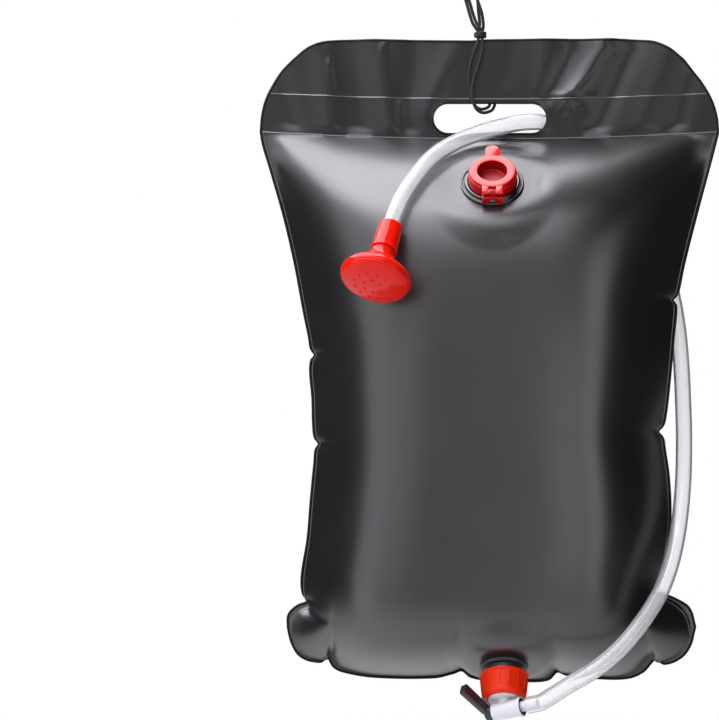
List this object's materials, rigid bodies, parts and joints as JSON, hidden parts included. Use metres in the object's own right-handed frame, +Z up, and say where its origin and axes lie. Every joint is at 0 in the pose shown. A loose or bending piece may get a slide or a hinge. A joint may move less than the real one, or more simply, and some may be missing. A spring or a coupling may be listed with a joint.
{
  "type": "camp shower bag",
  "caption": "Hanging black PVC water bag with a red capped filler, a screwed tap with a lever, a clear hose and a red shower head.",
  "frame": {"origin": "inner top of the hanging cord's loop, where the hook or branch that carries the bag sits", "axes": "+Z up along the hanging bag, the filler and the tap face -Y, +X to the right as seen from the front"},
  "size_m": [0.4, 0.2405, 0.6432],
  "materials": {
    "sheet": "satin",
    "collar": "gloss",
    "red": "gloss",
    "milky": "satin",
    "clear": "gloss",
    "black": "satin",
    "rubber": "matte",
    "steel": "satin",
    "cord": "matte"
  },
  "bodies": {
    "bag": {"front_panel": "sheet", "back_panel": "sheet", "filler_collar": "collar", "filler_neck": "red", "filler_hinge_pin": "steel", "outlet_spout": "black", "outlet_gasket": "rubber", "valve_body": "milky", "valve_spigot": "milky", "valve_end_seal": "rubber", "hose": "clear", "head_sleeve": "red", "hanging_cord": "cord", "cord_knot": "cord"},
    "cap": {"filler_cap": "red"},
    "nut": {"outlet_nut": "red"},
    "lever": {"valve_lever": "black", "valve_rotor": "black", "valve_front_ring": "rubber", "valve_back_ring": "rubber"},
    "shower_head": {"head_bell": "red", "head_rose": "red", "head_seal": "rubber"}
  },
  "joints": [
    {"name": "cap_hinge", "type": "hinge", "parent": "bag", "child": "cap", "pos_m": [0.021, -0.08592, -0.19242], "axis": [1, 0, 0], "range_deg": [0, 150]},
    {"name": "nut_turn", "type": "hinge", "parent": "bag", "child": "nut", "pos_m": [0.0309, -0.05648, -0.5958], "axis": [0, -0.5299, -0.848], "range_deg": [0, 540]},
    {"name": "lever_turn", "type": "hinge", "parent": "bag", "child": "lever", "pos_m": [0.0309, -0.07805, -0.63032], "axis": [0.8949, -0.3784, 0.2364], "range_deg": [0, 90]},
    {"name": "head_pull", "type": "slide", "parent": "bag", "child": "shower_head", "axis": [-0.2051, -0.5703, -0.7954], "range_m": [0, 0.006]}
  ]
}
